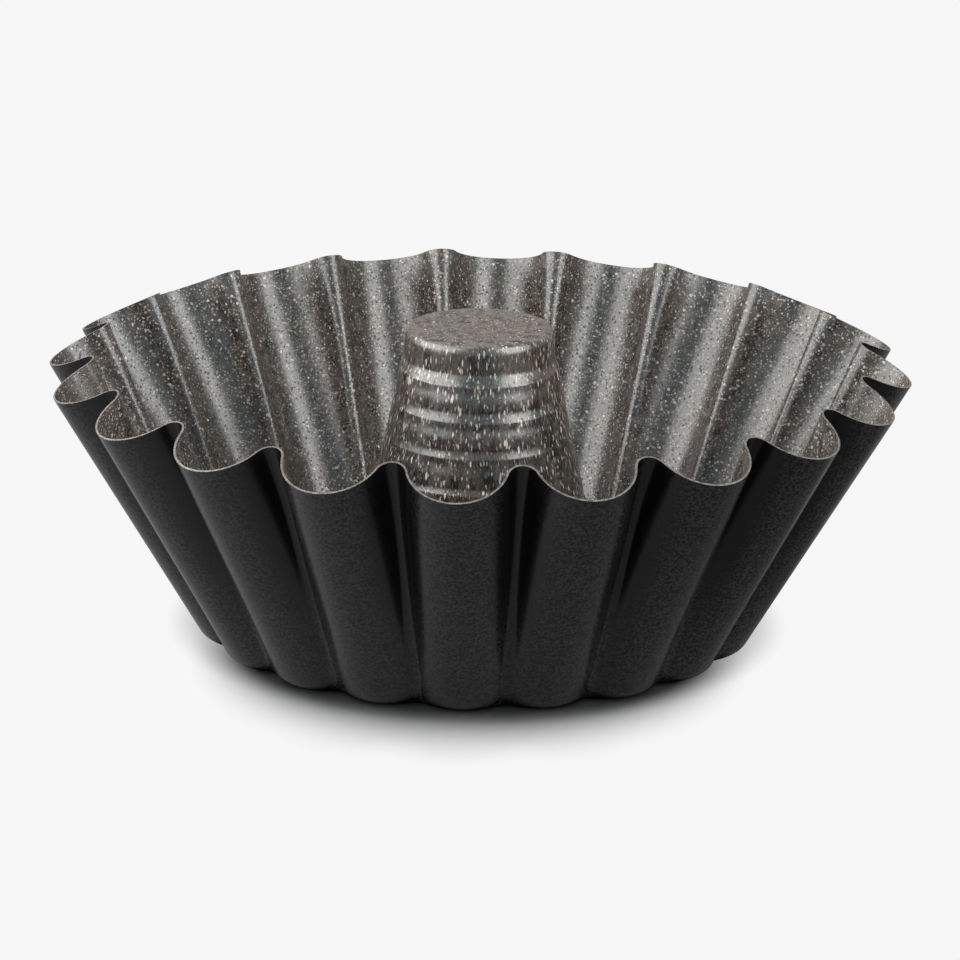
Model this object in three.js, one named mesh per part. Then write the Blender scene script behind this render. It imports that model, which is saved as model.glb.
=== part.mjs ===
// Fluted ring cake pan: a pressed steel shell and a stepped centre tube, hooked together at the tube's foot.
// Millimetres, +Z up. The origin lies on the axis, on the surface that the pan stands on.
import * as THREE from "three";

// Coated sheet steel, the same gauge in both pressings
const SHEET = 0.6;

// Fluted wall, measured on its outside
const FLUTES = 20;
const RIM_RADIUS = 130; // to the crest of a lobe
const RIM_FLUTE_DEPTH = 13.7; // from the crest of a lobe in to the bottom of a groove
const RIM_GROOVE_ARC = 4.4; // radius of the groove's bottom
const RIM_RISE = 7; // how much higher the edge stands in a groove than on a lobe
const WALL_HEIGHT = 78.4; // up to the edge of a lobe
const BASE_RADIUS = 84.2; // where wall and floor would meet without the rounded corner
const BASE_FLUTE_DEPTH = 3.5;
const BASE_GROOVE_ARC = 4;
const CORNER_RADIUS = 6.5;

// Centre tube, measured on its outside
const TUBE_HEIGHT = 92.6; // above the surface that the pan stands on
const TUBE_TOP_RADIUS = 22.5;
const TUBE_FOOT_RADIUS = 41;
const TUBE_FLARE = 1.2; // 1 makes a straight cone, more makes it open out towards the foot
const TUBE_EDGE_ARC = 1.4; // rounding around the closed top
const STEPS = 8;
const STEP_SHOULDER = 3.8; // height of the hollow shoulder above each step's edge
const STEP_FALL = 2.8; // what is left of that height where the shoulder's curve turns outwards
const STEP_LEAN = 0.45; // share of a step's width that its plain wall takes by leaning out
const FOOT_WALL = 3; // plain wall between the floor and the lowest step's edge

// Flat lock seam: four layers of sheet, floor and tube by turns
const SEAM_CLEARANCE = 0.2; // between two layers
const SEAM_HOOK = 3.5; // how far the two folded edges reach past each other
const SEAM_LIFT = 0.4; // from the standing surface up to the seam
const RAMP_WIDTH = 4; // the floor climbs over the seam within this width

// Facets of the curved surfaces
const LOBE_FACETS = 4;
const GROOVE_FACETS = 3;
const WALL_FACETS = 2;
const CORNER_FACETS = 3;
const BEND_FACETS = 4;
const STEP_FACETS = 2;
const TURN_FACETS = 48;

const AXIS = new THREE.Vector2();
const UP = new THREE.Vector3(0, 0, 1);
const HALF_FLUTE = Math.PI / FLUTES;

// The seam's layers from the bottom: tube flange, floor hook, tube hook, floor
const layer = SHEET + SEAM_CLEARANCE;
const bend = SHEET / 2 + SEAM_CLEARANCE; // inside radius of the folds
const flangeTop = SEAM_LIFT + SHEET;
const raisedFloor = SEAM_LIFT + 3 * layer; // underside of the floor over the seam
const floorFold = new THREE.Vector2(TUBE_FOOT_RADIUS + layer + bend, raisedFloor - bend);
const tubeFold = new THREE.Vector2(floorFold.x + SEAM_HOOK, flangeTop + bend);
const rampTop = tubeFold.x + bend + layer;
const rampFoot = rampTop + RAMP_WIDTH;

const shellMaterial = new THREE.MeshStandardMaterial({
  name: "black_outside_stone_inside",
  color: 0x2b2a2b,
  roughness: 0.5,
  metalness: 0.2,
});
const tubeMaterial = new THREE.MeshStandardMaterial({
  name: "stone_effect_coat",
  color: 0x554d47,
  roughness: 0.42,
  metalness: 0.2,
});

// Points along an arc, both ends included.
function arc(centre, radius, from, to, facets) {
  return Array.from({ length: facets + 1 }, (_, i) => {
    const angle = from + ((to - from) * i) / facets;
    return new THREE.Vector2(radius, 0).rotateAround(AXIS, angle).add(centre);
  });
}

// Plan outline of all flutes: each lobe is an arc that runs straight over into the groove's arc.
function fluteOutline(radius, depth, grooveArc) {
  const grooveCentre = new THREE.Vector2(radius - depth + grooveArc, 0).rotateAround(AXIS, HALF_FLUTE);
  const reach = radius - grooveCentre.x;
  const lobeArc = (reach ** 2 + grooveCentre.y ** 2 - grooveArc ** 2) / (2 * (reach + grooveArc));
  const lobeCentre = new THREE.Vector2(radius - lobeArc, 0);
  const swing = grooveCentre.clone().sub(lobeCentre).angle();
  const lobe = arc(lobeCentre, lobeArc, 0, swing, LOBE_FACETS);
  const groove = arc(grooveCentre, grooveArc, Math.PI + swing, Math.PI + HALF_FLUTE, GROOVE_FACETS);
  const half = [...lobe, ...groove.slice(1)];
  const otherHalf = half
    .slice(1, -1)
    .reverse()
    .map((p) => new THREE.Vector2(p.x, -p.y).rotateAround(AXIS, 2 * HALF_FLUTE));
  const flute = [...half, ...otherHalf];
  return Array.from({ length: FLUTES }, (_, k) =>
    flute.map((p) => p.clone().rotateAround(AXIS, 2 * HALF_FLUTE * k)),
  ).flat();
}

// One line down the outside of the wall and round the corner, from the edge to the floor.
function wallColumn(basePoint, rimPoint) {
  const rise = (RIM_RISE * (RIM_RADIUS - rimPoint.length())) / RIM_FLUTE_DEPTH;
  const edge = new THREE.Vector3(rimPoint.x, rimPoint.y, WALL_HEIGHT + rise);
  const foot = new THREE.Vector3(basePoint.x, basePoint.y, 0);
  const up = edge.clone().sub(foot).normalize();
  const inward = foot.clone().negate().normalize();
  const halfAngle = up.angleTo(inward) / 2;
  const tangent = CORNER_RADIUS / Math.tan(halfAngle);
  const wallEnd = foot.clone().addScaledVector(up, tangent);
  const floorEnd = foot.clone().addScaledVector(inward, tangent);
  const bisector = up.clone().add(inward).normalize();
  const centre = foot.clone().addScaledVector(bisector, CORNER_RADIUS / Math.sin(halfAngle));
  const column = [];
  for (let i = 0; i < WALL_FACETS; i++) {
    column.push(edge.clone().lerp(wallEnd, i / WALL_FACETS));
  }
  for (let i = 0; i < CORNER_FACETS; i++) {
    const spoke = wallEnd.clone().lerp(floorEnd, i / CORNER_FACETS).sub(centre);
    column.push(spoke.setLength(CORNER_RADIUS).add(centre));
  }
  column.push(floorEnd);
  return column;
}

// The outside of the wall as loops round the axis, from the edge down to the floor.
function wallLoops() {
  const base = fluteOutline(BASE_RADIUS, BASE_FLUTE_DEPTH, BASE_GROOVE_ARC);
  const rim = fluteOutline(RIM_RADIUS, RIM_FLUTE_DEPTH, RIM_GROOVE_ARC);
  const columns = rim.map((rimPoint, i) => wallColumn(base[i], rimPoint));
  return columns[0].map((_, row) => columns.map((column) => column[row]));
}

// The inside of the wall: every point moved square to the surface by the sheet, straight up on the floor.
function insideLoops(loops) {
  const last = loops.length - 1;
  return loops.map((loop, row) =>
    loop.map((point, i) => {
      const around = loop[(i + 1) % loop.length].clone().sub(loop.at(i - 1));
      const down = loops[Math.min(row + 1, last)][i].clone().sub(loops[Math.max(row - 1, 0)][i]);
      const square = row === last ? UP : around.cross(down).normalize();
      return point.clone().addScaledVector(square, SHEET);
    }),
  );
}

// The other face of a sheet in section, on the right of its line, with sharp corners kept parallel.
function otherFace(section) {
  const squares = section.slice(1).map((p, i) => {
    const along = p.clone().sub(section[i]).normalize();
    return new THREE.Vector2(along.y, -along.x);
  });
  return section.map((p, i) => {
    const before = squares[Math.max(i - 1, 0)];
    const after = squares[Math.min(i, squares.length - 1)];
    const middle = before.clone().add(after).normalize();
    return p.clone().addScaledVector(middle, SHEET / middle.dot(after));
  });
}

// A circle round the axis through a point of a section.
function turnLoop(point) {
  return Array.from({ length: TURN_FACETS }, (_, i) => {
    const angle = (2 * Math.PI * i) / TURN_FACETS;
    return new THREE.Vector3(point.x * Math.cos(angle), point.x * Math.sin(angle), point.y);
  });
}

// Closes a ring of loops into one surface, stepping along whichever of two neighbours lags behind.
function skin(loops) {
  const points = loops.flat();
  const triangles = [];
  let start = 0;
  loops.forEach((loop, k) => {
    const next = loops[(k + 1) % loops.length];
    const nextStart = (start + loop.length) % points.length;
    let i = 0;
    let j = 0;
    while (i < loop.length || j < next.length) {
      const here = start + (i % loop.length);
      const across = nextStart + (j % next.length);
      if ((i + 1) * next.length <= (j + 1) * loop.length) {
        i += 1;
        triangles.push(here, across, start + (i % loop.length));
      } else {
        j += 1;
        triangles.push(here, across, nextStart + (j % next.length));
      }
    }
    start = nextStart;
  });
  return new THREE.BufferGeometry().setFromPoints(points).setIndex(triangles);
}

// Floor in section from below: flat, up the ramp, over the seam and back under as a hook.
function floorSection() {
  const flat = new THREE.Vector2(rampFoot + RAMP_WIDTH, 0);
  const foldStart = new THREE.Vector2(rampFoot, 0);
  const foldTop = new THREE.Vector2(rampTop, raisedFloor);
  const fold = arc(floorFold, bend, Math.PI / 2, (3 * Math.PI) / 2, BEND_FACETS);
  const hookEnd = new THREE.Vector2(tubeFold.x, floorFold.y - bend);
  return [flat, foldStart, foldTop, ...fold, hookEnd];
}

// Shell: fluted wall, rounded corner and floor, pressed from one sheet.
function flutedShell() {
  const outside = wallLoops();
  const inside = insideLoops(outside);
  const below = floorSection();
  const above = otherFace(below);
  const loops = [
    ...outside,
    ...below.map(turnLoop),
    ...above.reverse().map(turnLoop),
    ...inside.reverse(),
  ];
  const mesh = new THREE.Mesh(skin(loops), shellMaterial);
  mesh.name = "fluted_shell";
  return mesh;
}

// Stepped side of the tube: plain walls, each ending in a hollow shoulder that runs out to the next edge.
function steppedSide(path) {
  const top = TUBE_HEIGHT - TUBE_EDGE_ARC;
  const lowestEdge = raisedFloor + SHEET + FOOT_WALL;
  const pitch = (top - lowestEdge) / STEPS;
  const radiusAt = (step) =>
    TUBE_TOP_RADIUS + (TUBE_FOOT_RADIUS - TUBE_TOP_RADIUS) * (step / STEPS) ** TUBE_FLARE;
  for (let step = 1; step <= STEPS; step++) {
    const edge = top - pitch * step;
    const wallEnd = THREE.MathUtils.lerp(radiusAt(step - 1), radiusAt(step), STEP_LEAN);
    path.lineTo(wallEnd, edge + STEP_SHOULDER);
    path.quadraticCurveTo(wallEnd, edge + STEP_FALL, radiusAt(step), edge);
  }
}

// Tube: closed flat top, stepped side, and a flange that hooks back over the floor's fold.
function centreTube() {
  const side = new THREE.Path();
  side.moveTo(TUBE_TOP_RADIUS, TUBE_HEIGHT - TUBE_EDGE_ARC);
  steppedSide(side);
  const edgeCentre = new THREE.Vector2(TUBE_TOP_RADIUS - TUBE_EDGE_ARC, TUBE_HEIGHT - TUBE_EDGE_ARC);
  const flangeCentre = new THREE.Vector2(TUBE_FOOT_RADIUS + bend, flangeTop + bend);
  const face = [
    new THREE.Vector2(0, TUBE_HEIGHT),
    ...arc(edgeCentre, TUBE_EDGE_ARC, Math.PI / 2, 0, BEND_FACETS),
    ...side.getPoints(STEP_FACETS).slice(1),
    ...arc(flangeCentre, bend, Math.PI, (3 * Math.PI) / 2, BEND_FACETS / 2),
    ...arc(tubeFold, bend, -Math.PI / 2, Math.PI / 2, BEND_FACETS),
    new THREE.Vector2(floorFold.x, tubeFold.y + bend),
  ];
  const section = [...face, ...otherFace(face).reverse()];
  const geometry = new THREE.LatheGeometry(section.reverse(), TURN_FACETS).rotateX(Math.PI / 2);
  const mesh = new THREE.Mesh(geometry, tubeMaterial);
  mesh.name = "centre_tube";
  return mesh;
}

const pan = new THREE.Group();
pan.add(flutedShell(), centreTube());

export default pan;
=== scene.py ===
"""Looks of a fluted ring cake pan: stone-effect coat inside, black coat outside, bare cut edges."""
import logging
import math
from collections.abc import Callable
from dataclasses import dataclass, field
from enum import Enum
from typing import Any

import bpy
from mathutils import Matrix, Quaternion, Vector


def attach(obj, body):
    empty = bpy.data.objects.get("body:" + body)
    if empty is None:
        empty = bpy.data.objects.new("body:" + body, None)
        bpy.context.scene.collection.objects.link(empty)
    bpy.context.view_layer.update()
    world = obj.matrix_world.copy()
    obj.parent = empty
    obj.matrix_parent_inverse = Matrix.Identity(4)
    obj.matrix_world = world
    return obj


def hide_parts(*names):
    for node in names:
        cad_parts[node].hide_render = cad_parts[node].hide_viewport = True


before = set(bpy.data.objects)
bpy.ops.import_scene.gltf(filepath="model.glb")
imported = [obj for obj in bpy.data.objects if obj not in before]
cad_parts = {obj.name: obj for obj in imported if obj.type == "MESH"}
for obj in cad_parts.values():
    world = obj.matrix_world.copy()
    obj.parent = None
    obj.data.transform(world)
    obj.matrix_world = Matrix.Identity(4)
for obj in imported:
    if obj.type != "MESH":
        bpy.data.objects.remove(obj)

log = logging.getLogger("cake_pan")

MM = 0.001
PICTURE_PX = 960
SENSOR_MM = 36.0
WELD = 0.01 * MM
# s * (1 - s) ** 2 times this is 1 at its highest, where s is a third.
BOW_SCALE = 27 / 4
# Widens the border between two sections by a share, against rounding.
BORDER = 0.001
SHARP_ANGLE = math.radians(40)

Colour = tuple[float, float, float]
Span = tuple[float, float]


class Face(Enum):
    """The three surfaces of a coated sheet, by the material slot that they take."""

    FORMED = 0
    BACK = 1
    CUT = 2


class Wire:
    """A node socket that takes part in Python arithmetic; each operation adds a node."""

    def __init__(self, sheet: "NodeSheet", socket: bpy.types.NodeSocket) -> None:
        """Wraps one output socket of a node tree."""
        self.sheet = sheet
        self.socket = socket

    @property
    def is_vector(self) -> bool:
        """True for a socket that carries three numbers, a vector or a colour."""
        return self.socket.type in {"VECTOR", "RGBA"}

    def __add__(self, other: Any) -> "Wire":
        """Sum."""
        return self.sheet.maths("ADD", self, other)

    def __radd__(self, other: Any) -> "Wire":
        """Sum with a number on the left."""
        return self.sheet.maths("ADD", other, self)

    def __sub__(self, other: Any) -> "Wire":
        """Difference."""
        return self.sheet.maths("SUBTRACT", self, other)

    def __rsub__(self, other: Any) -> "Wire":
        """Difference with a number on the left."""
        return self.sheet.maths("SUBTRACT", other, self)

    def __mul__(self, other: Any) -> "Wire":
        """Product; a vector is scaled by a number."""
        if self.is_vector:
            return self.sheet.node(
                "ShaderNodeVectorMath", {"operation": "SCALE"}, {0: self, "Scale": other}
            )
        return self.sheet.maths("MULTIPLY", self, other)

    def __rmul__(self, other: Any) -> "Wire":
        """Product with a number on the left."""
        return self * other

    def __truediv__(self, other: Any) -> "Wire":
        """Quotient."""
        return self.sheet.maths("DIVIDE", self, other)

    def __rtruediv__(self, other: Any) -> "Wire":
        """Quotient with a number on the left."""
        return self.sheet.maths("DIVIDE", other, self)

    def __pow__(self, other: Any) -> "Wire":
        """Power."""
        return self.sheet.maths("POWER", self, other)

    def __lt__(self, other: Any) -> "Wire":
        """1 where smaller, otherwise 0."""
        return self.sheet.maths("LESS_THAN", self, other)

    def __gt__(self, other: Any) -> "Wire":
        """1 where greater, otherwise 0."""
        return self.sheet.maths("GREATER_THAN", self, other)

    def __abs__(self) -> "Wire":
        """Absolute value."""
        return self.sheet.maths("ABSOLUTE", self)

    def call(self, operation: str, *others: Any) -> "Wire":
        """Any other Math operation, by its name in Blender."""
        return self.sheet.maths(operation, self, *others)

    def unit(self) -> "Wire":
        """The vector at length 1."""
        return self.sheet.node("ShaderNodeVectorMath", {"operation": "NORMALIZE"}, {0: self})

    def dot(self, other: "Wire") -> "Wire":
        """Dot product of two vectors."""
        return self.sheet.node(
            "ShaderNodeVectorMath", {"operation": "DOT_PRODUCT"}, {0: self, 1: other}, "Value"
        )


class NodeSheet:
    """Writes one node tree."""

    def __init__(self, tree: bpy.types.NodeTree) -> None:
        """Starts on an empty tree."""
        self.tree = tree
        tree.nodes.clear()

    def node(
        self,
        kind: str,
        settings: dict[str, Any] | None = None,
        sockets: dict[int | str, Any] | None = None,
        output: int | str = 0,
    ) -> Wire:
        """Adds a node.

        Args:
            kind: The node's type.
            settings: Its own settings, set first.
            sockets: Values or wires for its inputs, by name or number.
            output: The output that is handed back.

        Returns:
            That output as a wire.
        """
        made = self._make(kind, settings or {}, sockets or {})
        return Wire(self, made.outputs[output])

    def end(self, kind: str, socket: str, value: Wire) -> None:
        """Adds the tree's last node, which has no output, with one wire into it."""
        self._make(kind, {}, {socket: value})

    def _make(
        self, kind: str, settings: dict[str, Any], sockets: dict[int | str, Any]
    ) -> bpy.types.Node:
        """Adds a node, with its settings first and then its sockets."""
        made = self.tree.nodes.new(kind)
        for name, value in settings.items():
            setattr(made, name, value)
        for key, value in sockets.items():
            self.feed(made.inputs[key], value)
        return made

    def feed(self, socket: bpy.types.NodeSocket, value: Any) -> None:
        """Links a wire into a socket, or sets its value."""
        if isinstance(value, Wire):
            self.tree.links.new(value.socket, socket)
        else:
            socket.default_value = value

    def maths(self, operation: str, *terms: Any) -> Wire:
        """A Math node, or a Vector Math node where a term is a vector."""
        has_vector = any(isinstance(term, Wire) and term.is_vector for term in terms)
        kind = "ShaderNodeVectorMath" if has_vector else "ShaderNodeMath"
        return self.node(kind, {"operation": operation}, dict(enumerate(terms)))

    def vector(self, x: Any = 0.0, y: Any = 0.0, z: Any = 0.0) -> Wire:
        """A vector from three numbers or wires."""
        return self.node("ShaderNodeCombineXYZ", None, {0: x, 1: y, 2: z})

    def part(self, vector: Wire, axis: str) -> Wire:
        """One number of a vector: X, Y or Z."""
        return self.node("ShaderNodeSeparateXYZ", None, {0: vector}, axis)

    def blend(self, share: Any, first: Wire | Colour, second: Wire | Colour) -> Wire:
        """Mixes two colours: all of the first at 0, all of the second at 1."""
        low, high = (end if isinstance(end, Wire) else (*end, 1.0) for end in (first, second))
        return self.node("ShaderNodeMix", {"data_type": "RGBA"}, {0: share, 6: low, 7: high}, 2)

    def step(
        self, value: Wire, low: float, high: float, start: Any = 0.0, end: Any = 1.0
    ) -> Wire:
        """A smooth passage from start, at low, to end, at high."""
        return self.node(
            "ShaderNodeMapRange",
            {"interpolation_type": "SMOOTHSTEP"},
            {"Value": value, 1: low, 2: high, 3: start, 4: end},
        )


Section = tuple[int, Callable[[Wire], Wire]]


class FormSheet(NodeSheet):
    """Writes a geometry tree that bends a grid of rows and columns into a sheet."""

    def __init__(self, name: str, columns: int, rows: int) -> None:
        """Starts a tree on a grid.

        Args:
            name: Name of the tree.
            columns: Strips around the axis.
            rows: Strips along the section.
        """
        super().__init__(bpy.data.node_groups.new(name, "GeometryNodeTree"))
        self.columns = columns
        self.rows = rows
        self.tree.interface.new_socket("Sheet", in_out="OUTPUT", socket_type="NodeSocketGeometry")
        self.entry = self.tree.nodes.new("NodeGroupInput")
        self.values: dict[str, float] = {}
        index = self.node("GeometryNodeInputIndex")
        self.column = (index / (rows + 1)).call("FLOOR")
        self.row = index - self.column * (rows + 1)
        self.turn = self.column / columns

    def size(self, name: str, value: float) -> Wire:
        """Declares a named input of the tree with the value that the modifier gives it."""
        self.tree.interface.new_socket(name, in_out="INPUT", socket_type="NodeSocketFloat")
        self.values[name] = value
        return Wire(self, self.entry.outputs[name])

    def either(self, test: Wire, yes: Wire, no: Wire) -> Wire:
        """One of two values, vectors or numbers."""
        kind = "VECTOR" if yes.is_vector else "FLOAT"
        return self.node(
            "GeometryNodeSwitch", {"input_type": kind}, {"Switch": test, "False": no, "True": yes}
        )

    def between(self, first: Wire, second: Wire, share: Wire) -> Wire:
        """The point a share of the way from one vector to another."""
        return first + (second - first) * share

    def turned(self, radius: Any, angle: Wire, height: Any = 0.0) -> Wire:
        """A point by radius, angle round the axis and height."""
        return self.vector(radius * angle.call("COSINE"), radius * angle.call("SINE"), height)

    def zones(self, sections: list[Section]) -> Wire:
        """Strings sections together along the rows.

        Args:
            sections: For each its number of rows, and a function that gives the point for a share
                from 0 to 1 along it.

        Returns:
            The point for every row.
        """
        start = 0
        shapes = []
        for rows, shape in sections:
            shapes.append((start + rows, shape((self.row - start) / rows)))
            start += rows
        place = shapes[-1][1]
        for end, shape in reversed(shapes[:-1]):
            place = self.either(self.row < end + 0.5, shape, place)
        return place

    def close(self, place: Wire, material: bpy.types.Material) -> None:
        """Ends the tree: grid, place of each point, closed joint, faces outward, material.

        Args:
            place: Point for every vertex of the grid.
            material: Finish of the formed face.
        """
        counts = {"Vertices X": self.columns + 1, "Vertices Y": self.rows + 1}
        made = self.node("GeometryNodeMeshGrid", None, counts)
        made = self.node("GeometryNodeSetPosition", None, {"Geometry": made, "Position": place})
        made = self.node("GeometryNodeMergeByDistance", None, {"Geometry": made, "Distance": WELD})
        made = self.node("GeometryNodeFlipFaces", None, {"Mesh": made})
        made = self.node("GeometryNodeSetShadeSmooth", None, {"Geometry": made, "Shade Smooth": True})
        made = self.node("GeometryNodeRealizeInstances", None, {"Geometry": made})
        made = self.node("GeometryNodeSetMaterial", None, {"Geometry": made, "Material": material})
        self.end("NodeGroupOutput", "Sheet", made)

    def mesh(self, name: str) -> bpy.types.Mesh:
        """Runs the tree once and hands back its plain mesh."""
        carrier = add_object(name, bpy.data.meshes.new(name))
        modifier = carrier.modifiers.new(name, "NODES")
        modifier.node_group = self.tree
        for item in self.tree.interface.items_tree:
            if item.in_out == "INPUT":
                modifier[item.identifier] = self.values[item.name]
        made = plain_mesh(carrier)
        bpy.data.objects.remove(carrier)
        return made


def add_object(name: str, data: Any) -> bpy.types.Object:
    """A new object in the scene."""
    made = bpy.data.objects.new(name, data)
    bpy.context.collection.objects.link(made)
    return made


def plain_mesh(piece: bpy.types.Object) -> bpy.types.Mesh:
    """The piece's mesh with its modifiers worked in."""
    view = bpy.context.evaluated_depsgraph_get()
    return bpy.data.meshes.new_from_object(piece.evaluated_get(view), depsgraph=view)


@dataclass(frozen=True)
class Grain:
    """Soft noise in a finish, by its scale per millimetre and its shares in relief and roughness."""

    scale: float
    detail: float = 2.0
    roughness: float = 0.5
    relief: float = 1.0
    dullness: float = 0.0


@dataclass(frozen=True)
class Specks:
    """One size class of specks in a coat: their spacing, smallest and largest radius in millimetres.

    cover is how much of the ground they hide. relief and dullness are their shares in the coat's
    relief and roughness.
    """

    spacing: float
    least: float
    most: float
    cover: float
    relief: float
    dullness: float = 0.0


class MaterialSheet(NodeSheet):
    """Writes a material's node tree."""

    def __init__(self, name: str) -> None:
        """Starts a material."""
        self.material = bpy.data.materials.new(name)
        self.material.use_nodes = True
        super().__init__(self.material.node_tree)

    def place(self) -> Wire:
        """Place on the piece in metres."""
        return self.node("ShaderNodeTexCoord", None, None, "Object")

    def fine_place(self, stretch: float = 1.0) -> Wire:
        """Place on the piece in millimetres, shortened along the axis by the stretch."""
        scale = (1 / MM, 1 / MM, 1 / MM / stretch)
        return self.node("ShaderNodeMapping", None, {"Vector": self.place(), "Scale": scale})

    def noise(self, place: Wire, grain: Grain) -> Wire:
        """Soft noise from 0 to 1."""
        sockets = {
            "Vector": place,
            "Scale": grain.scale,
            "Detail": grain.detail,
            "Roughness": grain.roughness,
        }
        return self.node("ShaderNodeTexNoise", None, sockets, "Fac")

    def bump(self, height: Wire, strength: float, depth: float) -> Wire:
        """Normal with a relief worked in, whose depth is in metres."""
        sockets = {"Strength": strength, "Distance": depth, "Height": height}
        return self.node("ShaderNodeBump", None, sockets)

    def finish(
        self, colour: Wire, rough: Wire, bump: Wire, metallic: float = 0.0, specular: float = 0.5
    ) -> bpy.types.Material:
        """Ends the material in its shader.

        Args:
            colour: Base colour.
            rough: Roughness.
            bump: Normal with the relief worked in.
            metallic: How much of the surface is bare metal.
            specular: Strength of the mirrored light.

        Returns:
            The material.
        """
        sockets = {
            "Base Color": colour,
            "Roughness": rough,
            "Normal": bump,
            "Metallic": metallic,
            "Specular IOR Level": specular,
        }
        shader = self.node("ShaderNodeBsdfPrincipled", None, sockets)
        return self.close(shader)

    def close(self, shader: Wire) -> bpy.types.Material:
        """Ends the material in a shader that is already there."""
        self.end("ShaderNodeOutputMaterial", "Surface", shader)
        return self.material


@dataclass(frozen=True)
class StoneCoat:
    """Speckled stone-effect non-stick coat.

    stretch is how much longer than wide the specks are along the axis, as on a deep-drawn side, and
    slim is the share of their width that is left there. top is the height in millimetres of a flat
    top. There the coat is dull and takes a paler mottled colour, which is partly wear and partly
    painted sheen standing in for the mirrored light that the dull top loses. top_edge says how far
    below the top that begins and where it is full.
    """

    name: str
    stretch: float = 1.0
    slim: float = 1.0
    pale: Colour = (0.53, 0.5, 0.45)
    rose: Colour = (0.2, 0.155, 0.12)
    gloss: float = 0.12
    specular: float = 0.6
    top: float = 1000.0
    top_edge: Span = (0.6, 0.1)
    ground: Colour = (0.053, 0.04, 0.032)
    cool: Colour = (0.04, 0.037, 0.033)
    ink: Colour = (0.003, 0.0025, 0.0022)
    worn_and_sheen: Colour = (0.118, 0.104, 0.094)
    worn_and_sheen_share: float = 0.65
    worn_dullness: float = 0.34
    worn_and_sheen_limits: Span = (0.3, 0.7)
    cloud: Grain = Grain(0.07, detail=3.0)
    cloud_limits: Span = (0.42, 0.62)
    grain: Grain = Grain(2.2, roughness=0.6, relief=0.7, dullness=0.14)
    mottle: Grain = Grain(0.3, detail=3.0, roughness=0.6, relief=1.2, dullness=0.2)
    ink_limits: Span = (0.36, 0.64)
    large: Specks = Specks(2.0, 0.15, 0.5, cover=0.6, relief=0.3)
    small: Specks = Specks(0.8, 0.08, 0.34, cover=0.45, relief=0.2)
    dark: Specks = Specks(1.0, 0.12, 0.4, cover=0.7, relief=-0.5, dullness=0.3)
    speck_edge: float = 0.12
    speck_shift: tuple[float, float, float] = (31.0, 17.0, 5.0)
    wander_scale: float = 2.2
    wander: float = 0.6
    relief_strength: float = 0.45
    relief_depth: float = 0.1 * MM

    def material(self) -> bpy.types.Material:
        """Makes the coat's material."""
        sheet = MaterialSheet(self.name)
        place = sheet.fine_place(self.stretch)
        grain = sheet.noise(place, self.grain)
        mottle = sheet.noise(place, self.mottle)
        cloud = sheet.noise(place, self.cloud)
        ground = sheet.blend(sheet.step(cloud, *self.cloud_limits), self.ground, self.cool)
        share = sheet.step(grain * 0.5 + mottle * 0.5, *self.ink_limits)
        ground = sheet.blend(share, self.ink, ground)
        shift = sheet.vector(*self.speck_shift)
        ragged = self._ragged(sheet, place)
        large, large_tint = self._specks(sheet, ragged, self.large)
        small, small_tint = self._specks(sheet, ragged + shift, self.small)
        dark, _ = self._specks(sheet, ragged - shift, self.dark)
        large_colour = sheet.blend(large_tint, self.pale, self.rose)
        small_colour = sheet.blend(small_tint, self.rose, self.pale)
        colour = sheet.blend(dark * self.dark.cover, ground, self.ink)
        colour = sheet.blend(small * self.small.cover, colour, small_colour)
        colour = sheet.blend(large * self.large.cover, colour, large_colour)
        relief = grain * self.grain.relief + mottle * self.mottle.relief
        relief = relief + large * self.large.relief + small * self.small.relief
        relief = relief + dark * self.dark.relief
        height = sheet.part(place, "Z") * self.stretch
        on_top = sheet.step(height, self.top - self.top_edge[0], self.top - self.top_edge[1])
        # Paler mottled top: partly wear, partly painted sheen.
        worn_and_sheen = on_top * sheet.step(mottle, *self.worn_and_sheen_limits) * self.worn_and_sheen_share
        colour = sheet.blend(worn_and_sheen, colour, self.worn_and_sheen)
        rough = self.gloss + grain * self.grain.dullness + mottle * self.mottle.dullness
        rough = rough + dark * self.dark.dullness + on_top * self.worn_dullness
        bump = sheet.bump(relief, self.relief_strength, self.relief_depth)
        return sheet.finish(colour, rough, bump, specular=self.specular)

    def _ragged(self, sheet: MaterialSheet, place: Wire) -> Wire:
        """The place pushed about a little, so that specks get uneven outlines."""
        sockets = {"Vector": place, "Scale": self.wander_scale}
        push = sheet.node("ShaderNodeTexNoise", None, sockets, "Color")
        return place + (push - (0.5, 0.5, 0.5)) * self.wander

    def _specks(self, sheet: MaterialSheet, place: Wire, specks: Specks) -> tuple[Wire, Wire]:
        """Irregular specks of one size class.

        Args:
            sheet: The material's sheet.
            place: Place on the piece in millimetres.
            specks: The size class.

        Returns:
            A mask of the specks, and a number that differs from speck to speck.
        """
        sockets = {"Vector": place, "Scale": 1 / specks.spacing}
        distance = sheet.node("ShaderNodeTexVoronoi", None, sockets, "Distance") * specks.spacing
        chance = sheet.node("ShaderNodeTexVoronoi", None, sockets, "Color")
        size = sheet.node("ShaderNodeSeparateColor", None, {0: chance}, 0)
        tint = sheet.node("ShaderNodeSeparateColor", None, {0: chance}, 1)
        radius = (size * (specks.most - specks.least) + specks.least) * self.slim
        mask = (radius - distance) / self.speck_edge + 0.5
        return mask.call("MAXIMUM", 0.0).call("MINIMUM", 1.0), tint


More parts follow.
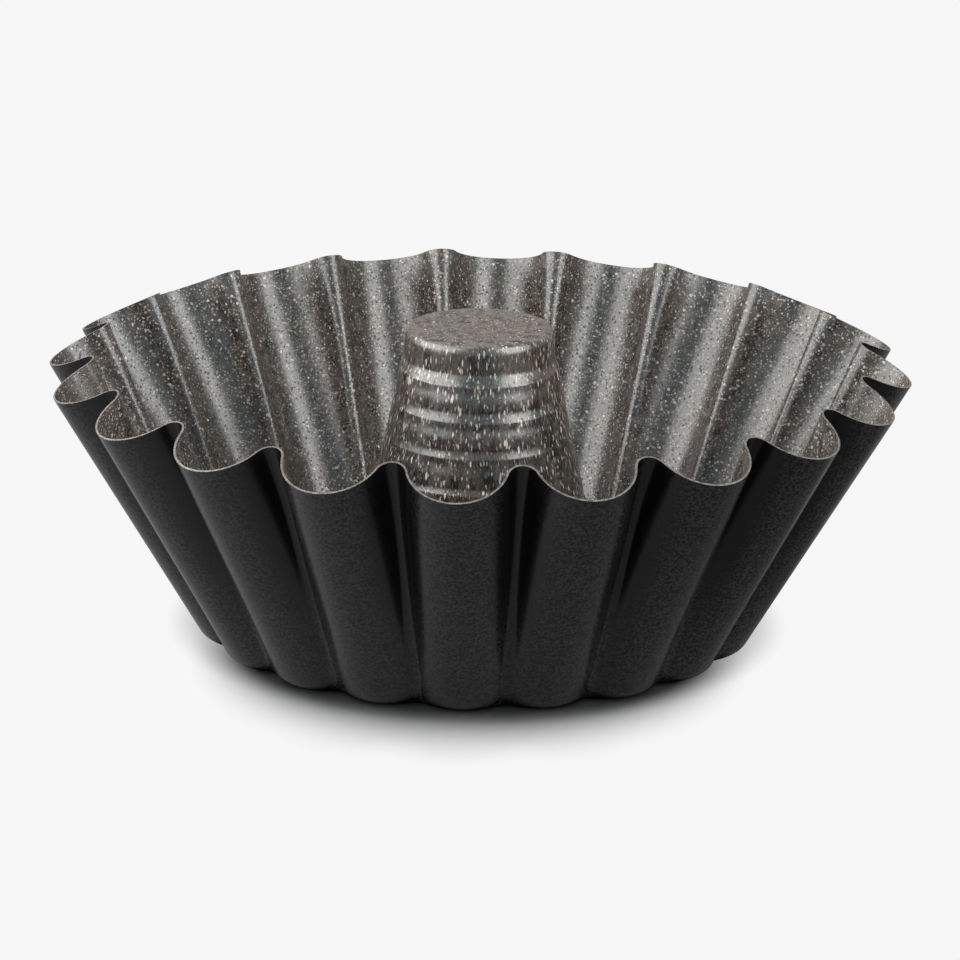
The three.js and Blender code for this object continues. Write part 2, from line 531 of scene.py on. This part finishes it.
@dataclass(frozen=True)
class BlackCoat:
    """Black satin coat with a fine grain.

    flutes is the number of lobes round the axis, if there are any. On the flanks of the grooves
    between them, less at the grooves' bottom, the lighter grain is taken out, which paints shade into
    the grooves. shaded_waves and bottom_waves are the limits of these zones, as the cosine round a
    flute: 1 on a lobe's crest, -1 in a groove. shade_fade_heights are the heights in millimetres
    between which the grain comes back towards the base, where the painted shade fades out.
    """

    name: str
    colour: Colour = (0.0004, 0.0004, 0.0004)
    lighter: Colour = (0.013, 0.013, 0.013)
    gloss: float = 0.14
    flutes: int = 0
    grain: Grain = Grain(1.2, dullness=0.14)
    grain_limits: Span = (0.34, 0.68)
    cloud: Grain = Grain(0.05, detail=3.0, dullness=0.06)
    shaded_waves: Span = (-0.9, 0.3)
    shade_fade_heights: Span = (12.0, 50.0)
    bottom_waves: Span = (-0.99, -0.94)
    bottom_share: float = 0.65
    relief_strength: float = 0.3
    relief_depth: float = 0.1 * MM

    def material(self) -> bpy.types.Material:
        """Makes the coat's material."""
        sheet = MaterialSheet(self.name)
        place = sheet.fine_place()
        grain = sheet.noise(place, self.grain)
        cloud = sheet.noise(place, self.cloud)
        share = sheet.step(grain, *self.grain_limits) * self._unshaded_grain(sheet, place)
        colour = sheet.blend(share, self.colour, self.lighter)
        rough = self.gloss + grain * self.grain.dullness + cloud * self.cloud.dullness
        bump = sheet.bump(grain, self.relief_strength, self.relief_depth)
        return sheet.finish(colour, rough, bump)

    def _unshaded_grain(self, sheet: MaterialSheet, place: Wire) -> Wire | float:
        """Share of the grain that is kept, from 0 where it is taken out as painted shade to 1."""
        if not self.flutes:
            return 1.0
        x, y, height = (sheet.part(place, axis) for axis in "XYZ")
        wave = (y.call("ARCTAN2", x) * self.flutes).call("COSINE")
        # Painted shade: the lighter grain is taken out on the grooves' flanks, and this fades out
        # towards the base.
        shaded = sheet.step(wave, *self.shaded_waves, 1.0, 0.0)
        shaded = shaded * sheet.step(height, *self.shade_fade_heights)
        return 1 - shaded * sheet.step(wave, *self.bottom_waves, self.bottom_share, 1.0)


@dataclass(frozen=True)
class CutEdge:
    """Bare steel where the coated sheet was cut."""

    name: str
    colour: Colour = (0.31, 0.291, 0.28)
    darker: Colour = (0.13, 0.122, 0.117)
    gloss: float = 0.38
    metallic: float = 0.85
    drag: Grain = Grain(0.9, detail=4.0, roughness=0.7, dullness=0.2)
    drag_limits: Span = (0.3, 0.7)
    relief_strength: float = 0.3
    relief_depth: float = 0.03 * MM

    def material(self) -> bpy.types.Material:
        """Makes the edge's material."""
        sheet = MaterialSheet(self.name)
        drag = sheet.noise(sheet.fine_place(), self.drag)
        colour = sheet.blend(sheet.step(drag, *self.drag_limits), self.darker, self.colour)
        rough = self.gloss + drag * self.drag.dullness
        bump = sheet.bump(drag, self.relief_strength, self.relief_depth)
        return sheet.finish(colour, rough, bump, self.metallic)


@dataclass(frozen=True)
class Seam:
    """Flat lock seam between floor and tube: four layers of sheet, floor and tube by turns."""

    sheet: float = 0.6 * MM
    tube_radius: float = 41 * MM
    clearance: float = 0.2 * MM
    hook: float = 3.5 * MM
    lift: float = 0.4 * MM
    ramp: float = 4 * MM

    @property
    def layer(self) -> float:
        """Height that one layer takes up."""
        return self.sheet + self.clearance

    @property
    def bend(self) -> float:
        """Inside radius of the folds."""
        return self.sheet / 2 + self.clearance

    @property
    def flange_top(self) -> float:
        """Upper face of the tube's flange."""
        return self.lift + self.sheet

    @property
    def raised_floor(self) -> float:
        """Underside of the floor over the seam."""
        return self.lift + 3 * self.layer

    @property
    def floor_fold(self) -> tuple[float, float]:
        """Radius and height of the middle of the floor's fold."""
        return self.tube_radius + self.layer + self.bend, self.raised_floor - self.bend

    @property
    def tube_fold(self) -> tuple[float, float]:
        """Radius and height of the middle of the tube's fold."""
        return self.floor_fold[0] + self.hook, self.flange_top + self.bend

    @property
    def ramp_top(self) -> float:
        """Radius where the floor starts down from the seam."""
        return self.tube_fold[0] + self.bend + self.layer


@dataclass
class Pressing:
    """A piece pressed from coated sheet: one formed face, thickened to the back of the sheet."""

    name: str
    node: str
    slot: str
    sheet: float
    finishes: dict[Face, bpy.types.Material]

    def form(self) -> bpy.types.Mesh:
        """Makes the formed face. Each pressing has its own."""
        raise NotImplementedError

    def build(self) -> bpy.types.Object:
        """Forms the face, gives it the sheet's thickness and fits it to the frame.

        Returns:
            The finished piece.
        """
        face = self.form()
        face.materials.clear()
        for side in Face:
            face.materials.append(self.finishes[side])
        blank = add_object(self.name + "_blank", face)
        gauge = blank.modifiers.new("gauge", "SOLIDIFY")
        gauge.thickness = self.sheet
        gauge.offset = -1.0
        gauge.use_even_offset = True
        gauge.use_quality_normals = True
        gauge.material_offset = Face.BACK.value
        gauge.material_offset_rim = Face.CUT.value
        mesh = plain_mesh(blank)
        bpy.data.objects.remove(blank)
        mesh.name = self.name
        mesh.set_sharp_from_angle(angle=SHARP_ANGLE)
        piece = add_object(self.name, mesh)
        self.fit(piece)
        return piece

    def fit(self, piece: bpy.types.Object) -> None:
        """Ties the piece to the frame."""
        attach(piece, "root")
        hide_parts(self.node)
        log.info("%s: %d faces in place of %s", piece.name, len(piece.data.polygons), self.node)


@dataclass
class FlutedShell(Pressing):
    """Fluted wall, rounded corner and floor, pressed from one sheet.

    The formed face is the outside. pinch is how far the wall's grooves are drawn in towards
    tight_groove where they are tightest, and lobe_share is the part of the strips that a lobe takes.
    """

    seam: Seam = field(default_factory=Seam)
    flutes: int = 20
    rim_radius: float = 130 * MM
    rim_depth: float = 13.7 * MM
    rim_groove: float = 4.4 * MM
    rim_rise: float = 7 * MM
    height: float = 78.4 * MM
    base_radius: float = 84.2 * MM
    base_depth: float = 3.5 * MM
    base_groove: float = 4 * MM
    tight_groove: float = 2 * MM
    pinch: float = 0.62
    corner: float = 6.5 * MM
    lobe_share: float = 4 / 7
    strips_per_flute: int = 40
    wall_rows: int = 18
    corner_rows: int = 9
    floor_rows: int = 3
    seam_rows: int = 6

    def form(self) -> bpy.types.Mesh:
        """Forms the outside of the shell, from the edge of the wall to the hook under the floor."""
        rows = self.wall_rows + self.corner_rows + self.floor_rows + 4 * self.seam_rows
        sheet = FormSheet("fluted_shell_form", self.flutes * self.strips_per_flute, rows)
        ramp_foot = sheet.size("Ramp foot", self.seam.ramp_top + self.seam.ramp)
        sections = self._fluted_sections(sheet, ramp_foot) + self._seam_sections(sheet, ramp_foot)
        sheet.close(sheet.zones(sections), self.finishes[Face.FORMED])
        return sheet.mesh(self.name)

    def _fluted_sections(self, sheet: FormSheet, ramp_foot: Wire) -> list[Section]:
        """Sections of the wall, the corner and the flat floor.

        Args:
            sheet: The shell's sheet.
            ramp_foot: Radius where the flat floor ends.

        Returns:
            The sections from the rim inwards.
        """
        width = math.tau / self.flutes
        flute = sheet.turn * sheet.size("Flutes", self.flutes)
        number = flute.call("FLOOR")
        along = flute - number
        share = 1 - abs(along * 2 - 1)
        far_side = along > 0.5

        def plan(radius: Wire, depth: Wire, groove: Wire) -> tuple[Wire, Wire]:
            """Distance from the axis and angle round it, along a fluted outline."""
            reach, swing = self._outline(sheet, radius, depth, groove, share)
            return reach, number * width + sheet.either(far_side, width - swing, swing)

        rim_radius = sheet.size("Rim radius", self.rim_radius)
        rim_depth = sheet.size("Rim flute depth", self.rim_depth)
        rim_groove = sheet.size("Rim groove arc", self.rim_groove)
        tight_groove = sheet.size("Tight groove arc", self.tight_groove)
        base_radius = sheet.size("Base radius", self.base_radius)
        base_depth = sheet.size("Base flute depth", self.base_depth)
        base_groove = sheet.size("Base groove arc", self.base_groove)
        rim_reach, rim_angle = plan(rim_radius, rim_depth, rim_groove)
        rise = (rim_radius - rim_reach) / rim_depth * sheet.size("Rim rise", self.rim_rise)
        edge = sheet.turned(rim_reach, rim_angle, rise + sheet.size("Wall height", self.height))
        tight = sheet.turned(*plan(rim_radius, rim_depth, tight_groove))
        tighter = tight - sheet.turned(rim_reach, rim_angle)
        foot = sheet.turned(*plan(base_radius, base_depth, base_groove))
        up = (edge - foot).unit()
        inward = (foot * -1.0).unit()
        radius = sheet.size("Corner radius", self.corner)
        half_angle = up.dot(inward).call("ARCCOSINE") / 2
        tangent = radius / half_angle.call("TANGENT")
        wall_end = foot + up * tangent
        floor_end = foot + inward * tangent
        centre = foot + (up + inward).unit() * (radius / half_angle.call("SINE"))

        def wall(s: Wire) -> Wire:
            """Wall whose grooves are drawn tightest a third of the way down."""
            bow = s * (1 - s) ** 2 * (BOW_SCALE * self.pinch)
            return sheet.between(edge, wall_end, s) + tighter * bow

        def corner(s: Wire) -> Wire:
            """Rounded corner from the wall into the floor."""
            return centre + (sheet.between(wall_end, floor_end, s) - centre).unit() * radius

        def floor(s: Wire) -> Wire:
            """Flat floor."""
            return sheet.between(floor_end, sheet.turned(ramp_foot, sheet.turn * math.tau), s)

        return [(self.wall_rows, wall), (self.corner_rows, corner), (self.floor_rows, floor)]

    def _seam_sections(self, sheet: FormSheet, ramp_foot: Wire) -> list[Section]:
        """Sections of the floor over the seam and of its hook.

        Args:
            sheet: The shell's sheet.
            ramp_foot: Radius where the floor starts to climb.

        Returns:
            The sections from the flat floor inwards.
        """
        seam = self.seam
        angle = sheet.turn * math.tau
        ramp_top = sheet.size("Ramp top", seam.ramp_top)
        raised = sheet.size("Raised floor", seam.raised_floor)
        fold_radius, fold_height = seam.floor_fold

        def ramp(s: Wire) -> Wire:
            """Floor climbing over the seam."""
            climb = s * s * (3 - 2 * s)
            return sheet.turned(ramp_foot + (ramp_top - ramp_foot) * s, angle, raised * climb)

        def cover(s: Wire) -> Wire:
            """Floor over the tube's fold."""
            return sheet.turned(ramp_top + (fold_radius - ramp_top) * s, angle, raised)

        def fold(s: Wire) -> Wire:
            """Floor turning under at the tube."""
            bow = s * math.pi + math.pi / 2
            reach = bow.call("COSINE") * seam.bend + fold_radius
            return sheet.turned(reach, angle, bow.call("SINE") * seam.bend + fold_height)

        def hook(s: Wire) -> Wire:
            """End of the sheet inside the tube's fold."""
            return sheet.turned(s * seam.hook + fold_radius, angle, fold_height - seam.bend)

        return [(self.seam_rows, shape) for shape in (ramp, cover, fold, hook)]

    def _outline(
        self, sheet: FormSheet, radius: Wire, depth: Wire, groove: Wire, share: Wire
    ) -> tuple[Wire, Wire]:
        """Half a flute in plan: a lobe's arc that runs straight over into the groove's arc.

        Args:
            sheet: The shell's sheet.
            radius: Radius to the lobe's crest.
            depth: Depth of the groove.
            groove: Radius of the groove's arc.
            share: 0 on the crest, 1 at the bottom of the groove.

        Returns:
            Distance from the axis, and angle from the crest.
        """
        half = math.pi / self.flutes
        groove_reach = radius - depth + groove
        groove_x = groove_reach * math.cos(half)
        groove_y = groove_reach * math.sin(half)
        gap = radius - groove_x
        lobe = (gap * gap + groove_y * groove_y - groove * groove) / ((gap + groove) * 2)
        lobe_x = radius - lobe
        swing = groove_y.call("ARCTAN2", groove_x - lobe_x)
        lobe_bow = share / self.lobe_share * swing
        past_lobe = (share - self.lobe_share) / (1 - self.lobe_share)
        groove_bow = past_lobe * (half - swing) + swing + math.pi
        on_lobe = share < self.lobe_share
        x = sheet.either(
            on_lobe,
            lobe_x + lobe * lobe_bow.call("COSINE"),
            groove_x + groove * groove_bow.call("COSINE"),
        )
        y = sheet.either(
            on_lobe, lobe * lobe_bow.call("SINE"), groove_y + groove * groove_bow.call("SINE")
        )
        return (x * x + y * y).call("SQRT"), y.call("ARCTAN2", x)


@dataclass
class CentreTube(Pressing):
    """Closed stepped tube whose flange hooks into the floor.

    The formed face is the side with the cake. A step is a wall and, from wall_share of its rows on,
    a hollow shoulder. lean is the share of the way out that the wall takes; it is first_lean on the
    first step and grows downwards to most_lean. thinning is what the shoulders lose from step to
    step, down to least_shoulder of their height.
    """

    seam: Seam = field(default_factory=Seam)
    height: float = 92.6 * MM
    top_radius: float = 22.5 * MM
    flare: float = 1.2
    edge_arc: float = 1.4 * MM
    edge_drop: float = 2.8 * MM
    steps: int = 8
    shoulder: float = 3.8 * MM
    fall: float = 2.8 * MM
    lean: float = 0.45
    first_lean: float = 0.17
    lean_growth: float = 0.1
    most_lean: float = 0.68
    thinning: float = 0.13
    least_shoulder: float = 0.5
    wall_share: float = 0.5
    wall_curve: float = 1.5
    foot_wall: float = 3 * MM
    ledge: float = 0.2
    ledge_limits: Span = (0.2, 0.7)
    strips: int = 160
    top_rows: int = 6
    edge_rows: int = 6
    rows_per_step: int = 24
    seam_rows: int = 5

    def form(self) -> bpy.types.Mesh:
        """Forms the outside of the tube, from the middle of its top to the end of its hook."""
        rows = self.top_rows + self.edge_rows + self.steps * self.rows_per_step + 5 * self.seam_rows
        sheet = FormSheet("centre_tube_form", self.strips, rows)
        seam = self.seam
        angle = sheet.turn * math.tau
        height = sheet.size("Tube height", self.height)
        top_radius = sheet.size("Top radius", self.top_radius)
        foot_radius = sheet.size("Foot radius", seam.tube_radius)
        edge_arc = sheet.size("Edge arc", self.edge_arc)
        edge_drop = sheet.size("Edge drop", self.edge_drop)
        lowest = seam.raised_floor + seam.sheet + self.foot_wall
        bend_top = seam.flange_top + seam.bend
        fold_radius, fold_height = seam.tube_fold

        def top(s: Wire) -> Wire:
            """Flat closed top."""
            return sheet.turned((top_radius - edge_arc) * s, angle, height)

        def rounding(s: Wire) -> Wire:
            """Rounding around the top."""
            bow = (1 - s) * (math.pi / 2)
            reach = top_radius - edge_arc + edge_arc * bow.call("COSINE")
            return sheet.turned(reach, angle, height - edge_drop + edge_drop * bow.call("SINE"))

        def side(s: Wire) -> Wire:
            """Stepped side."""
            top_level = height - edge_arc
            at = s * self.steps
            reach, level = self._step(sheet, at, top_level, lowest, top_radius, foot_radius)
            return sheet.turned(reach, angle, level)

        def foot(s: Wire) -> Wire:
            """Plain wall down into the seam."""
            return sheet.turned(foot_radius, angle, lowest + (bend_top - lowest) * s)

        def flange_bend(s: Wire) -> Wire:
            """Bend from the wall out into the flange."""
            bow = s * (math.pi / 2) + math.pi
            reach = foot_radius + seam.bend + bow.call("COSINE") * seam.bend
            return sheet.turned(reach, angle, bow.call("SINE") * seam.bend + bend_top)

        def flange(s: Wire) -> Wire:
            """Flange under the floor's hook."""
            start = foot_radius + seam.bend
            return sheet.turned(start + (fold_radius - start) * s, angle, seam.flange_top)

        def fold(s: Wire) -> Wire:
            """Fold back over the floor's hook."""
            bow = s * math.pi - math.pi / 2
            reach = bow.call("COSINE") * seam.bend + fold_radius
            return sheet.turned(reach, angle, bow.call("SINE") * seam.bend + fold_height)

        def hook(s: Wire) -> Wire:
            """End of the sheet between the floor and its hook."""
            return sheet.turned(fold_radius - s * seam.hook, angle, fold_height + seam.bend)

        place = sheet.zones(
            [
                (self.top_rows, top),
                (self.edge_rows, rounding),
                (self.steps * self.rows_per_step, side),
                (self.seam_rows, foot),
                (self.seam_rows, flange_bend),
                (self.seam_rows, flange),
                (self.seam_rows, fold),
                (self.seam_rows, hook),
            ]
        )
        sheet.close(place, self.finishes[Face.FORMED])
        return sheet.mesh(self.name)

    def _step(
        self,
        sheet: FormSheet,
        at: Wire,
        top: Wire,
        lowest: float,
        top_radius: Wire,
        foot_radius: Wire,
    ) -> tuple[Wire, Wire]:
        """Section of the stepped side: wall, then a hollow shoulder out to the lip.

        Args:
            sheet: The tube's sheet.
            at: How many steps down, with fractions.
            top: Height where the steps start.
            lowest: Height of the lowest lip.
            top_radius: Radius at the top.
            foot_radius: Radius at the foot.

        Returns:
            Distance from the axis, and height.
        """
        number = at.call("FLOOR").call("MINIMUM", self.steps - 1)
        part = at - number
        pitch = (top - lowest) / self.steps

        def radius(step: Wire) -> Wire:
            """Radius of the wall under a step."""
            return top_radius + (foot_radius - top_radius) * (step / self.steps) ** self.flare

        start = radius(number)
        end = radius(number + 1)
        lip = top - pitch * (number + 1)
        later = number.call("MINIMUM", 1.0)
        first = 1 - later
        wall_height = pitch - first * (self.edge_drop - self.edge_arc)
        thin = (1 - number * self.thinning).call("MAXIMUM", self.least_shoulder)
        shoulder = thin * self.shoulder
        fall = thin * self.fall
        lean = (number * self.lean_growth + self.lean).call("MINIMUM", self.most_lean)
        lean = lean - first * (self.lean - self.first_lean)
        wall_end = start + (end - start) * lean
        down = (part / self.wall_share) ** self.wall_curve
        ledge = later * self.ledge
        drift = down * (1 - ledge) + sheet.step(down, *self.ledge_limits) * ledge
        out = (part - self.wall_share) / (1 - self.wall_share)
        on_wall = part < self.wall_share + BORDER
        reach = sheet.either(
            on_wall,
            start + (wall_end - start) * drift,
            wall_end + (end - wall_end) * out * out,
        )
        level = sheet.either(
            on_wall,
            lip + wall_height - (wall_height - shoulder) * down,
            lip + (1 - out) * ((1 - out) * shoulder + out * fall * 2),
        )
        return reach, level


@dataclass(frozen=True)
class PhotoCamera:
    """Camera that sees the pan as the photograph does: high, far off and slightly rolled."""

    azimuth: float = math.radians(2.86)
    elevation: float = math.radians(16.49)
    distance: float = 1.69
    roll: float = math.radians(0.69)
    focal_px: float = 5610.0
    rim_centre_px: tuple[float, float] = (479.2, 372.7)
    rim_height: float = 78.4 * MM
    clip: Span = (0.05, 50.0)

    def build(self) -> None:
        """Places the camera and makes it the scene's own."""
        data = bpy.data.cameras.new("photo_camera")
        data.sensor_width = SENSOR_MM
        data.lens = self.focal_px * SENSOR_MM / PICTURE_PX
        data.clip_start, data.clip_end = self.clip
        camera = add_object("photo_camera", data)
        back = direction(self.azimuth, self.elevation)
        aim = (-back).to_track_quat("-Z", "Y") @ Quaternion((0, 0, 1), self.roll)
        middle = PICTURE_PX / 2
        right, down = self.rim_centre_px
        sight = Vector((right - middle, middle - down, -self.focal_px))
        aim = aim @ sight.rotation_difference(Vector((0, 0, -1)))
        place = Vector((0, 0, self.rim_height)) + back * self.distance
        camera.matrix_world = Matrix.Translation(place) @ aim.to_matrix().to_4x4()
        bpy.context.scene.camera = camera
        log.info("camera at %s", tuple(round(v, 3) for v in place))


@dataclass(frozen=True)
class SoftBox:
    """Soft box aimed at the pan, with its azimuth from the camera's side and elevation in degrees."""

    name: str
    azimuth: float
    elevation: float
    width: float
    height: float
    brightness: float
    distance: float = 1.0
    colour: Colour = (1.0, 0.98, 0.955)

    def build(self, receivers: bpy.types.Collection) -> None:
        """Places the box, which lights only the receivers."""
        data = bpy.data.lights.new(self.name, "AREA")
        data.shape = "RECTANGLE"
        data.size = self.width
        data.size_y = self.height
        data.energy = self.brightness * math.pi * self.width * self.height
        data.color = self.colour
        lamp = add_object(self.name, data)
        back = direction(math.radians(self.azimuth), math.radians(self.elevation))
        aim = (-back).to_track_quat("-Z", "Y").to_matrix().to_4x4()
        lamp.matrix_world = Matrix.Translation(back * self.distance) @ aim
        lamp.light_linking.receiver_collection = receivers


def direction(azimuth: float, elevation: float) -> Vector:
    """Direction from the pan, by angle round it from the camera's side and angle over the floor."""
    level = math.cos(elevation)
    return Vector((math.sin(azimuth) * level, -math.cos(azimuth) * level, math.sin(elevation)))


@dataclass(frozen=True)
class Studio:
    """Pale floor and surroundings, with a soft box on each side.

    The floor is lit near the pan, where its shadow falls, and fades into an even pale glow between
    two ellipses. In mirrored light it glows by itself: sheen is its strength at the left and right,
    sheen_behind at the right behind the pan, and it is dark within mirrored_contact of the foot.
    """

    pale: float = 0.93
    floor_colour: float = 0.9
    ambient: float = 0.3
    front: Colour = (0.84, 1.14, 1.24)
    back: Colour = (0.84, 0.757, 0.688)
    ceiling: Colour = (0.38, 0.6, 0.65)
    back_ceiling: Colour = (0.42, 0.41, 0.39)
    horizon_top: float = 0.22
    ceiling_start: float = 0.55
    front_to_back: Span = (-0.3, 0.3)
    floor_half: float = 6.0
    floor_level: float = -0.1 * MM
    floor_light_spread: float = math.radians(12)
    foot: float = 82 * MM
    contact: float = 14 * MM
    contact_shade: float = 0.2
    glow_shade: float = 0.5
    mirrored_contact: float = 4 * MM
    sheen: tuple[float, float] = (0.415, 0.115)
    sheen_reach: float = 150 * MM
    sheen_behind: float = 0.28
    sheen_turn: Span = (-15 * MM, 50 * MM)
    fade_centre: float = -31 * MM
    fade_across: Span = (66 * MM, 86 * MM)
    fade_along: Span = (57 * MM, 107 * MM)
    boxes: tuple[SoftBox, ...] = (
        SoftBox("left_box", -73.0, 31.0, 1.4, 1.1, 6.3),
        SoftBox("right_box", 58.5, 31.0, 0.64, 1.1, 7.8),
    )

    def build(self, pan: list[bpy.types.Object]) -> None:
        """Makes the surroundings.

        Args:
            pan: Pieces that the soft boxes light.
        """
        self._world()
        floor = self._floor()
        self._floor_lamp(self._group("floor_only", [floor]))
        receivers = self._group("pan_only", pan)
        for box in self.boxes:
            box.build(receivers)

    @staticmethod
    def _group(name: str, members: list[bpy.types.Object]) -> bpy.types.Collection:
        """A collection that lamps can be kept to."""
        group = bpy.data.collections.new(name)
        for member in members:
            group.objects.link(member)
        return group

    def _world(self) -> None:
        """Surroundings: an even dim light, mirrored as pale round the horizon and cool overhead."""
        world = bpy.data.worlds.new("studio")
        bpy.context.scene.world = world
        world.use_nodes = True
        sheet = NodeSheet(world.node_tree)
        toward = sheet.node("ShaderNodeTexCoord", None, None, "Generated")
        overhead = sheet.step(sheet.part(toward, "Z"), self.horizon_top, self.ceiling_start)
        behind = sheet.step(sheet.part(toward, "Y"), *self.front_to_back)
        horizon = sheet.blend(behind, self.front, self.back)
        ceiling = sheet.blend(behind, self.ceiling, self.back_ceiling)
        image = sheet.blend(overhead, horizon, ceiling)
        mirrored = sheet.node("ShaderNodeLightPath", None, None, "Is Glossy Ray")
        colour = sheet.blend(mirrored, (self.ambient,) * 3, image)
        shader = sheet.node("ShaderNodeBackground", None, {"Color": colour, "Strength": 1.0})
        sheet.end("ShaderNodeOutputWorld", "Surface", shader)

    def _floor(self) -> bpy.types.Object:
        """Wide pale floor."""
        mesh = bpy.data.meshes.new("floor")
        ends = (-self.floor_half, self.floor_half)
        corners = [(x, y, self.floor_level) for y in ends for x in ends]
        mesh.from_pydata(corners, [], [(0, 1, 3, 2)])
        mesh.materials.append(self._floor_paint())
        floor = add_object("floor", mesh)
        return floor

    def _floor_paint(self) -> bpy.types.Material:
        """Paint of the floor: lit near the pan, glowing farther off and in mirrored light."""
        sheet = MaterialSheet("pale_floor")
        place = sheet.place()
        across = sheet.part(place, "X")
        depth = sheet.part(place, "Y")
        radius = (across * across + depth * depth).call("SQRT")
        shade = sheet.step(radius, self.foot, self.foot + self.contact, self.contact_shade)
        near = sheet.node("ShaderNodeBsdfDiffuse", None, {"Color": shade * self.floor_colour})
        glow = shade * (self.glow_shade * self.pale) + (1 - self.glow_shade) * self.pale
        far = sheet.node("ShaderNodeEmission", None, {"Color": glow, "Strength": 1.0})
        along = depth - self.fade_centre
        inner, outer = (
            ((across / wide) ** 2 + (along / deep) ** 2).call("SQRT")
            for wide, deep in zip(self.fade_across, self.fade_along)
        )
        fade = sheet.step((inner - 1) / (inner - outer), 0.0, 1.0)
        seen = sheet.node("ShaderNodeMixShader", None, {0: fade, 1: near, 2: far})
        left, right = self.sheen
        right = sheet.step(depth, *self.sheen_turn, right, self.sheen_behind)
        sheen = sheet.step(across, -self.sheen_reach, self.sheen_reach, left, right)
        sheen = sheen * sheet.step(radius, self.foot, self.foot + self.mirrored_contact)
        image = sheet.node("ShaderNodeEmission", None, {"Color": sheen, "Strength": 1.0})
        mirrored = sheet.node("ShaderNodeLightPath", None, None, "Is Glossy Ray")
        shader = sheet.node("ShaderNodeMixShader", None, {0: mirrored, 1: seen, 2: image})
        return sheet.close(shader)

    def _floor_lamp(self, receivers: bpy.types.Collection) -> None:
        """Even soft light on the floor, from straight above."""
        data = bpy.data.lights.new("floor_light", "SUN")
        data.energy = (self.pale / self.floor_colour - self.ambient) * math.pi
        data.angle = self.floor_light_spread
        lamp = add_object("floor_light", data)
        lamp.light_linking.receiver_collection = receivers


def main() -> None:
    """Builds the pan and its surroundings in order."""
    logging.basicConfig(level=logging.INFO, format="%(name)s: %(message)s")
    bpy.context.scene.view_settings.view_transform = "Standard"
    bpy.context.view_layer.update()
    PhotoCamera().build()
    seam = Seam()
    lobed = BlackCoat("black_coat_lobed", flutes=FlutedShell.flutes).material()
    black = BlackCoat("black_coat").material()
    edge = CutEdge("cut_edge").material()
    drawn = StoneCoat(
        "stone_coat_drawn",
        stretch=4.0,
        slim=0.9,
        pale=(0.76, 0.71, 0.64),
        rose=(0.31, 0.245, 0.195),
        gloss=0.1,
        specular=0.78,
        top=CentreTube.height / MM,
    )
    shell = FlutedShell(
        "fluted_shell_coated",
        "fluted_shell",
        "shell_coat",
        seam.sheet,
        {Face.FORMED: lobed, Face.BACK: StoneCoat("stone_coat").material(), Face.CUT: edge},
        seam,
    ).build()
    tube = CentreTube(
        "centre_tube_coated",
        "centre_tube",
        "tube_coat",
        seam.sheet,
        {Face.FORMED: drawn.material(), Face.BACK: black, Face.CUT: edge},
        seam,
    ).build()
    Studio().build([shell, tube])


if __name__ == "__main__":
    main()
